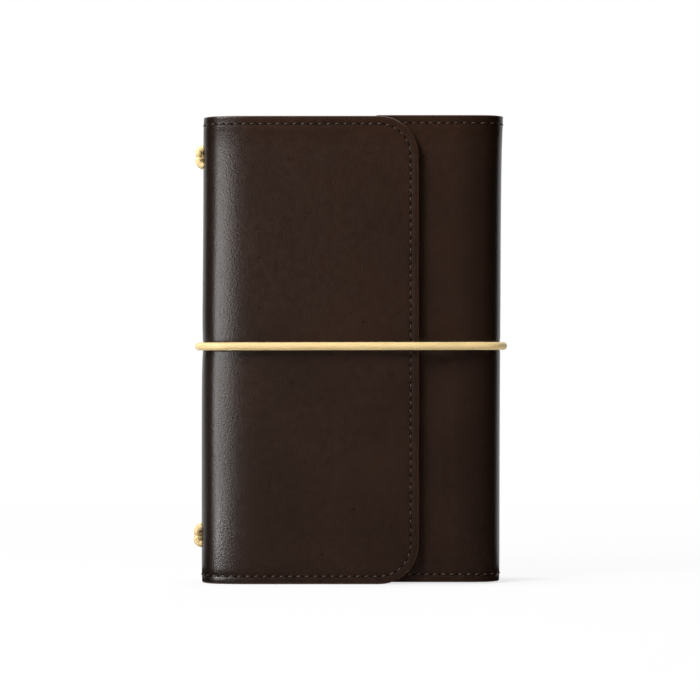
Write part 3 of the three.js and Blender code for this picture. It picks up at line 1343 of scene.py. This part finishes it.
@dataclass
class Cords:
    """The closure cord, the two cords that hold the booklets, and their knots."""

    sizes: CoverSizes
    path: WrapPath
    finishes: Finishes
    closure_diameter: float = 2.9 * MM
    retaining_diameter: float = 2.2 * MM
    clearance: float = 0.3 * MM
    contact: float = 0.05 * MM
    closure_step: float = 2.5 * MM
    retaining_step: float = 3 * MM
    hole_bend: float = 0.8
    edge_share: float = 0.5
    squash_keep: float = 0.1
    knot_swell: float = 1.1
    knot_seat: float = 0.28 * MM
    knot_inner: float = 0.25
    tilt: float = 0.0018
    arch: tuple[tuple[float, float, float], ...] = (
        (-0.75, 0.1, 0.0), (0.05, 0.15, 0.0), (0.42, 0.24, 0.3), (0.8, 0.27, 0.7), (1.0, 0.33, 1.0),
        (0.99, 0.52, 1.0), (0.84, 0.75, 1.0), (0.5, 0.93, 1.0), (0.1, 1.0, 1.0),
    )

    def build(self) -> list[Piece]:
        """Builds the cords and knots.

        Returns:
            The finished pieces.
        """
        pieces = [self.closure_cord()]
        pieces += [self.retaining_cord(name, side) for name, side in (("front", -1), ("rear", 1))]
        pieces += [self.spine_knot(node) for node in ("head_knot", "tail_knot")]
        pieces.append(self.closure_knot())
        return pieces

    def elastic(self, name: str, mesh_data: BMesh, node: str, body: str, sharp: float = 60) -> Piece:
        """Makes a piece of elastic that takes the place of a CAD node.

        Args:
            name: The piece's name.
            mesh_data: Its bmesh, which is freed.
            node: The CAD node.
            body: The body that it rides on.
            sharp: The angle in degrees past which an edge stays sharp.

        Returns:
            The piece.
        """
        piece = make_object(name, mesh_data, [self.finishes.elastic], sharp)
        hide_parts(node)
        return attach(piece, body)

    def closure_cord(self) -> Piece:
        """The cord once round the journal, from the spine's middle hole and back into it.

        Returns:
            The cord's object.
        """
        sizes = self.sizes
        z = self.path.cord_z
        radius = self.closure_diameter / 2
        stand_off = radius + self.contact - self.path.cord_press
        strand = (self.closure_diameter + self.clearance) / 2
        bend = self.closure_diameter * self.hole_bend
        bend_x = sizes.spine_x - stand_off + bend
        start_x = sizes.spine_x + sizes.wall - self.clearance
        fold, flap_fold = sizes.fold_radius, sizes.flap_fold_radius
        round_fold, round_flap = fold + stand_off, flap_fold + stand_off
        front = Vector((sizes.spine_x + fold, sizes.front_y + fold))
        flap = Vector((sizes.fore_edge_x - flap_fold, sizes.flap_y + flap_fold))
        back_fore = Vector((sizes.fore_edge_x - fold, sizes.back_y - fold))
        back_spine = Vector((sizes.spine_x + fold, sizes.back_y - fold))
        edge = Vector((sizes.front_edge_x + stand_off * self.edge_share, sizes.front_y - stand_off))
        to_fold = flap - edge
        slope = math.atan2(to_fold.y, to_fold.x) - math.asin(round_flap / to_fold.length)
        flat = [
            Vector((start_x, -strand)),
            *arc_points(Vector((bend_x, -strand - bend)), bend, 90, 180, 10),
            *arc_points(front, round_fold, 180, 270, 20),
            edge,
            *arc_points(flap, round_flap, math.degrees(slope) - 90, 0, 18),
            *arc_points(back_fore, round_fold, 0, 90, 20),
            *arc_points(back_spine, round_fold, 90, 180, 20),
            *arc_points(Vector((bend_x, strand + bend)), bend, 180, 270, 10),
            Vector((start_x, strand)),
        ]
        points = self.spaced([Vector((p.x, p.y, z + p.x * self.tilt)) for p in flat], self.closure_step)
        cord = self.elastic("closure_elastic", sweep(points, radius, sides=24), "closure_cord", "root")
        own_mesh(cord)
        return cord

    @staticmethod
    def spaced(points: Sequence[Vector], step: float) -> list[Vector]:
        """Adds points to the long gaps of a line.

        Args:
            points: The line's points.
            step: The longest gap that stays.

        Returns:
            The line with points added.
        """
        found = [points[0]]
        for before, after in zip(points, points[1:]):
            count = max(1, math.ceil((after - before).length / step))
            found += [before.lerp(after, i / count) for i in range(1, count + 1)]
        return found

    def retaining_cord(self, name: str, side: int) -> Piece:
        """A cord from the head hole, down the middle of a booklet and out through the tail hole.

        Args:
            name: The booklet's name, front or rear.
            side: -1 for the cord on the front side of the holes, 1 for the other.

        Returns:
            The cord's object.
        """
        sizes = self.sizes
        fold = joint_point(f"{name}_booklet_turn")
        card_low, card_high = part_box(f"{name}_booklet_card")
        run_x = (sizes.spine_x + sizes.wall + card_low.x) / 2
        bend = self.retaining_diameter
        turn = (fold.x - run_x) / 2
        hole_y = side * (self.retaining_diameter + self.clearance) / 2
        start_x = sizes.spine_x + self.clearance
        points: list[Vector] = []
        for way, end_z, knot in ((1, card_high.z, "head_knot"), (-1, card_low.z, "tail_knot")):
            hole_z = middle_z(knot)
            near = [Vector((start_x, hole_z))]
            near += arc_points(Vector((run_x - bend, hole_z + way * bend)), bend, -90 * way, 0, 8)
            far = arc_points(Vector((run_x + turn, end_z)), turn, 180, 180 - 180 * way, 16)
            half = [Vector((p.x, hole_y, p.y)) for p in near] + [Vector((p.x, fold.y, p.y)) for p in far]
            points += half if way > 0 else half[::-1]
        tube = sweep(self.spaced(points, self.retaining_step), self.retaining_diameter / 2, sides=16)
        return self.elastic(f"{name}_booklet_elastic", tube, f"{name}_retaining_cord", "spine")

    def spine_knot(self, node: str) -> Piece:
        """A knot outside the spine: doubled cords that arch up and down from the hole.

        The arch gives the cord's reach outwards, its rise and its spread as shares of the knot's.

        Args:
            node: The CAD node that it stands for.

        Returns:
            The knot's object.
        """
        low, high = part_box(node)
        radius = self.retaining_diameter / 2 * self.knot_swell
        reach = self.sizes.spine_x - low.x - radius
        top = (high.z - low.z) / 2 - radius
        outer = (high.y - low.y) / 2 - radius
        inner = outer * self.knot_inner
        tubes = bmesh.new()
        for side in (1, -1):
            for start, end in ((-inner, -outer), (inner, outer)):
                line = [
                    Vector((-out * reach, start + (end - start) * spread, side * up * top))
                    for out, up, spread in self.arch
                ]
                stamp(tubes, sweep(through(line, steps=6), radius, sides=14), [Matrix.Identity(4)])
        base = self.path.settle(Vector((self.sizes.spine_x, 0, middle_z(node))))
        bmesh.ops.translate(tubes, vec=base + Vector((self.knot_seat, 0, 0)), verts=tubes.verts)
        return self.elastic(f"{node}_tied", tubes, node, "spine")

    @staticmethod
    def bight(side: int, count: int = 48) -> list[Vector]:
        """One of the two loops that a reef knot shows, linked with the other one.

        Args:
            side: 1 for the upper loop, -1 for the lower one.
            count: The number of points.

        Returns:
            The loop's points in units of the cord's radius, with -X outwards.
        """
        middle, swing, crossing = 0.5, 0.95, 1.15
        half_width, half_height, apart = 1.95, 2.05, 0.92
        points = []
        for i in range(count):
            t = 2 * math.pi * i / count
            outwards = middle + swing * math.cos(t) + crossing * side * math.sin(2 * t)
            up = side * (apart + half_height * math.cos(t))
            points.append(Vector((-outwards, half_width * math.sin(t), up)))
        return points

    def closure_knot(self) -> Piece:
        """The closure cord's reef knot inside the spine, lying down, as large as its CAD node.

        Returns:
            The knot's object.
        """
        low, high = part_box("closure_knot")
        size = high - low
        lying = Matrix.Rotation(math.pi / 2, 4, "X")
        tube = bmesh.new()
        for side in (1, -1):
            stamp(tube, sweep(self.bight(side), 1.0, sides=16, closed=True), [lying])
        corners = [[v.co[axis] for v in tube.verts] for axis in range(3)]
        centre = Vector([(max(line) + min(line)) / 2 for line in corners])
        growth = [size[axis] / (max(line) - min(line)) for axis, line in enumerate(corners)]
        bmesh.ops.translate(tube, vec=-centre, verts=tube.verts)
        bmesh.ops.scale(tube, vec=growth, verts=tube.verts)
        bmesh.ops.translate(tube, vec=self.path.settle((low + high) / 2), verts=tube.verts)
        return self.elastic("closure_knot_tied", tube, "closure_knot", "spine", 180)


# Booklets


@dataclass
class Booklet:
    """One refill booklet: a card cover, folded leaves and two staples."""

    name: str
    finishes: Finishes
    card: float = 0.4 * MM
    card_gap: float = 0.08 * MM
    channel: float = 1.4 * MM
    channel_taper: tuple[tuple[float, float], ...] = ((1 * MM, 0.9), (3 * MM, 0.5))
    channel_end: float = 7 * MM
    slit: float = 0.3 * MM
    spin_steps: int = 28
    wire: float = 0.6 * MM
    wire_bend: float = 1.6
    sharp_angle: float = 40
    wire_sharp_angle: float = 60

    def folded(self, outer: float, inner: float, closing: Sequence[tuple[float, float]]) -> BMesh:
        """A folded layer: a half round at the fold and two flat leaves, as tall as the booklet.

        Args:
            outer: The outer radius at the fold.
            inner: The inner radius at the fold.
            closing: Pairs of a distance from the fold and the inner half gap there.

        Returns:
            The layer's bmesh, with a UV map of the place in the stack and the height.
        """
        fold = joint_point(f"{self.name}_booklet_turn")
        low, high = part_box(f"{self.name}_booklet_pages")
        layer = bmesh.new()
        inside = layer.verts.new((fold.x, fold.y + inner, low.z))
        outside = layer.verts.new((fold.x, fold.y + outer, low.z))
        first = layer.edges.new((inside, outside))
        made = bmesh.ops.spin(
            layer, geom=[inside, outside, first], cent=fold, axis=(0, 0, 1), dvec=(0, 0, 0),
            angle=math.pi, steps=self.spin_steps, use_merge=False,
        )["geom_last"]
        last = next(e for e in made if isinstance(e, BMEdge))
        for edge in (first, last):
            for distance, gap in closing:
                grown = bmesh.ops.extrude_edge_only(layer, edges=[edge])["geom"]
                edge = next(e for e in grown if isinstance(e, BMEdge) and all(v in grown for v in e.verts))
                for vert in edge.verts:
                    half = vert.co.y - fold.y
                    if abs(half) < (outer + inner) / 2:
                        vert.co.y = fold.y + math.copysign(gap, half)
                    vert.co.x = fold.x + distance
        made = bmesh.ops.extrude_face_region(layer, geom=list(layer.faces))["geom"]
        raised = [e for e in made if isinstance(e, BMVert)]
        bmesh.ops.translate(layer, vec=(0, 0, high.z - low.z), verts=raised)
        bmesh.ops.recalc_face_normals(layer, faces=layer.faces)
        uv_layer = layer.loops.layers.uv.new("UVMap")
        for face in layer.faces:
            for loop in face.loops:
                offset = loop.vert.co - fold
                depth = abs(offset.y) if offset.x > 0 else math.hypot(offset.x, offset.y)
                loop[uv_layer].uv = (depth, loop.vert.co.z)
        return layer

    def build(self) -> list[Piece]:
        """Builds the booklet.

        Returns:
            The finished pieces.
        """
        body = f"{self.name}_booklet"
        card_low, card_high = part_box(f"{body}_card")
        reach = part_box(f"{body}_pages")[1].x - joint_point(f"{body}_turn").x
        outer = (card_high.y - card_low.y) / 2
        inner = outer - self.card
        cover = self.folded(outer, inner, [(reach, inner)])
        card = make_object(f"{body}_cover", cover, [self.finishes.card], self.sharp_angle)
        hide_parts(f"{body}_card")
        closing = [(distance, self.channel * share) for distance, share in self.channel_taper]
        closing += [(self.channel_end, self.slit / 2), (reach, self.slit / 2)]
        leaves = self.folded(inner - self.card_gap, self.channel, closing)
        pages = make_object(f"{body}_leaves", leaves, [self.finishes.paper], self.sharp_angle)
        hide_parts(f"{body}_pages")
        pieces = [card, pages, *[self.staple(end) for end in ("head", "tail")]]
        for piece in pieces:
            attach(piece, body)
        return pieces

    def staple(self, end: str) -> Piece:
        """A staple of round wire in the place of its CAD node.

        Args:
            end: The end of the booklet that it is near, head or tail.

        Returns:
            The staple's object.
        """
        node = f"{self.name}_booklet_staple_{end}"
        low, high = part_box(node)
        radius = self.wire / 2
        y = (low.y + high.y) / 2
        bend = radius * self.wire_bend
        bend_x = low.x + radius + bend
        line = [
            Vector((high.x, high.z - radius)),
            *arc_points(Vector((bend_x, high.z - radius - bend)), bend, 90, 180, 6),
            *arc_points(Vector((bend_x, low.z + radius + bend)), bend, 180, 270, 6),
            Vector((high.x, low.z + radius)),
        ]
        tube = sweep([Vector((p.x, y, p.y)) for p in line], radius, sides=10)
        wire = make_object(f"{node}_wire", tube, [self.finishes.wire], self.wire_sharp_angle)
        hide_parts(node)
        return wire


# Stage, lights and camera


def around(bearing: float, distance: float, z: float) -> Vector:
    """A place at a bearing in degrees to the left of the camera, seen from the journal."""
    angle = math.radians(bearing)
    return Vector((-math.sin(angle) * distance, -math.cos(angle) * distance, z))


@dataclass(frozen=True)
class Lamp:
    """A soft lamp that looks at the journal. A glint only shows in polished surfaces and is oval."""

    name: str
    bearing: float
    distance: float
    z: float
    size: tuple[float, float]
    watts: float
    glint: bool = False
    shows: bool = True

    def build(self, target_z: float) -> None:
        """Hangs the lamp so that it looks at the journal at a height.

        Args:
            target_z: The height.
        """
        data = bpy.data.lights.new(self.name, "AREA")
        data.shape = "ELLIPSE" if self.glint else "RECTANGLE"
        data.size, data.size_y = self.size
        data.energy = self.watts
        lamp = bpy.data.objects.new(self.name, data)
        lamp.visible_camera = False
        lamp.visible_diffuse = not self.glint
        lamp.visible_glossy = self.shows
        place = around(self.bearing, self.distance, self.z)
        lamp.location = place
        lamp.rotation_euler = (Vector((0, 0, target_z)) - place).to_track_quat("-Z", "Z").to_euler()
        bpy.context.scene.collection.objects.link(lamp)


@dataclass(frozen=True)
class Flag:
    """A black card where reflections have to stay dark. The camera doesn't see it.

    It stands on the ground, or lies there, and shades says whether it holds back the room's light too.
    """

    name: str
    bearing: float
    distance: float
    size: tuple[float, float]
    lies: bool = False
    shades: bool = False
    black: Colour = (0.002, 0.002, 0.002, 1)

    def build(self) -> None:
        """Sets up the card."""
        mesh_data = bmesh.new()
        bmesh.ops.create_grid(mesh_data, x_segments=1, y_segments=1, size=0.5)
        bmesh.ops.scale(mesh_data, vec=(*self.size, 1), verts=mesh_data.verts)
        middle = MM / 2 if self.lies else self.size[1] / 2
        place = Matrix.Translation(around(self.bearing, self.distance, middle))
        if not self.lies:
            facing = Matrix.Rotation(-math.radians(self.bearing), 4, "Z")
            place = place @ (facing @ Matrix.Rotation(math.pi / 2, 4, "X"))
        bmesh.ops.transform(mesh_data, matrix=place, verts=mesh_data.verts)
        shader = Shader(f"{self.name}_black")
        black = shader.finish(Base_Color=self.black, Roughness=1.0, Specular_IOR_Level=0.0)
        card = make_object(self.name, mesh_data, [black])
        card.visible_camera = False
        card.visible_shadow = False
        card.visible_diffuse = self.shades


@dataclass
class Studio:
    """A white room with soft lights and the camera."""

    photo_scale: float = 0.3693 * MM
    photo_width: int = 700
    lens: float = 135.0
    sensor: float = 36.0
    clip: tuple[float, float] = (0.05, 50.0)
    object_offset: float = 0.5 * MM
    camera_z: float = 85.5 * MM
    floor_half: float = 4.0
    floor_tone: Colour = (0.86, 0.86, 0.86, 1)
    floor_white: float = 0.94
    oval: tuple[float, float, float] = (0.27, 1, 1)
    # Close round the journal less white is mixed in: the real shadow shows more there, and the floor is
    # painted darker too.
    contact_reach: tuple[float, float] = (0.028, 0.015)
    contact_shade: float = 0.22
    far_reach: tuple[float, float] = (0.04, 0.6)
    white: Colour = (1, 1, 1, 1)
    ambient: float = 0.18
    flags: tuple[Flag, ...] = (
        Flag("front_flag", bearing=0, distance=2.2, size=(5.0, 3.0)),
        Flag("ground_flag", bearing=0, distance=1.08, size=(4.0, 2.24), lies=True),
        Flag("right_flag", bearing=-62, distance=0.2, size=(0.42, 0.5), shades=True),
        Flag("left_flag", bearing=89, distance=0.8, size=(0.9, 1.6)),
    )
    lamps: tuple[Lamp, ...] = (
        Lamp("left_light", 44.5, distance=0.5, z=0.087, size=(0.35, 0.238), watts=1.31, glint=True),
        Lamp("low_light", 48, distance=0.19, z=0.013, size=(0.1, 0.025), watts=0.005, glint=True),
        Lamp("foot_light", 51.4, distance=0.145, z=0.006, size=(0.053, 0.012), watts=0.027, glint=True),
        Lamp("key_light", 46, distance=0.5, z=0.6, size=(0.3, 0.3), watts=6.1),
        Lamp("right_light", -52, distance=0.7, z=0.12, size=(0.4, 0.4), watts=1.3, shows=False),
        Lamp("back_light", 200, distance=1.2, z=1.4, size=(1.0, 1.0), watts=8.0),
    )

    def camera(self) -> None:
        """Places the camera straight in front of the journal."""
        data = bpy.data.cameras.new("camera")
        data.lens = self.lens
        data.sensor_width = self.sensor
        data.clip_start, data.clip_end = self.clip
        camera = bpy.data.objects.new("camera", data)
        distance = self.photo_scale * self.photo_width * self.lens / self.sensor
        camera.location = (-self.object_offset, -distance, self.camera_z)
        camera.rotation_euler = (math.pi / 2, 0, 0)
        bpy.context.scene.collection.objects.link(camera)
        bpy.context.scene.camera = camera

    def floor(self) -> None:
        """Lays a pale floor that keeps the journal's shadow and fades to white far away."""
        mesh_data = bmesh.new()
        bmesh.ops.create_grid(mesh_data, x_segments=1, y_segments=1, size=self.floor_half)
        shader = Shader("pale_floor")
        shader.finish(Base_Color=self.floor_tone, Roughness=0.9, Specular_IOR_Level=0.0)
        oval = shader.scaled(shader.coordinate("Object"), self.oval)
        reach = shader.add("ShaderNodeVectorMath", {0: oval}, out="Value", operation="LENGTH")
        # Painted shade: an oval round the journal gets less white, so the floor is darker there even where no
        # shadow falls.
        shade = shader.maths("MULTIPLY", shader.ramp(reach, *self.contact_reach), self.contact_shade)
        far = shader.ramp(reach, *self.far_reach)
        plain = shader.maths("MULTIPLY_ADD", far, 1 - self.floor_white, self.floor_white)
        share = shader.maths("MULTIPLY", shader.seen(), shader.maths("SUBTRACT", plain, shade))
        white = shader.add("ShaderNodeEmission", {"Color": self.white, "Strength": 1.0})
        mixed = shader.add("ShaderNodeMixShader", {0: share, 1: shader.surface.outputs[0], 2: white})
        shader.feed(shader.output, "Surface", mixed)
        make_object("floor", mesh_data, [shader.material])

    def world(self) -> None:
        """A white background for the camera and reflections, and a soft grey light for the rest."""
        world = bpy.data.worlds.new("studio")
        world.use_nodes = True
        nodes = NodeBuilder(world.node_tree)
        output = nodes.tree.nodes.new("ShaderNodeOutputWorld")
        ambient, white = [
            nodes.add("ShaderNodeBackground", {"Color": self.white, "Strength": strength})
            for strength in (self.ambient, 1.0)
        ]
        mixed = nodes.add("ShaderNodeMixShader", {0: nodes.seen(), 1: ambient, 2: white})
        nodes.feed(output, "Surface", mixed)
        bpy.context.scene.world = world

    def build(self) -> None:
        """Builds the stage, the lights and the camera."""
        self.camera()
        self.floor()
        self.world()
        for flag in self.flags:
            flag.build()
        for lamp in self.lamps:
            lamp.build(self.camera_z)
        bpy.context.scene.view_settings.view_transform = "Standard"


def report(group: str, pieces: Iterable[Piece]) -> None:
    """Logs each piece of a named group with its face count."""
    for piece in pieces:
        log.info("%s: %s, %d faces", group, piece.name, len(piece.data.polygons))


def main() -> None:
    """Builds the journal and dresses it."""
    logging.basicConfig(level=logging.INFO, format="%(name)s %(message)s")
    Studio().build()
    sizes = CoverSizes.from_frame()
    path = WrapPath(sizes, middle_z("closure_cord"))
    finishes = Finishes.build(path.round_sides, sizes.height)
    report("cords", Cords(sizes, path, finishes).build())
    report("cover", WrapCover(sizes, path, finishes).build())
    for name in ("front", "rear"):
        report(f"{name} booklet", Booklet(name, finishes).build())


if __name__ == "__main__":
    main()
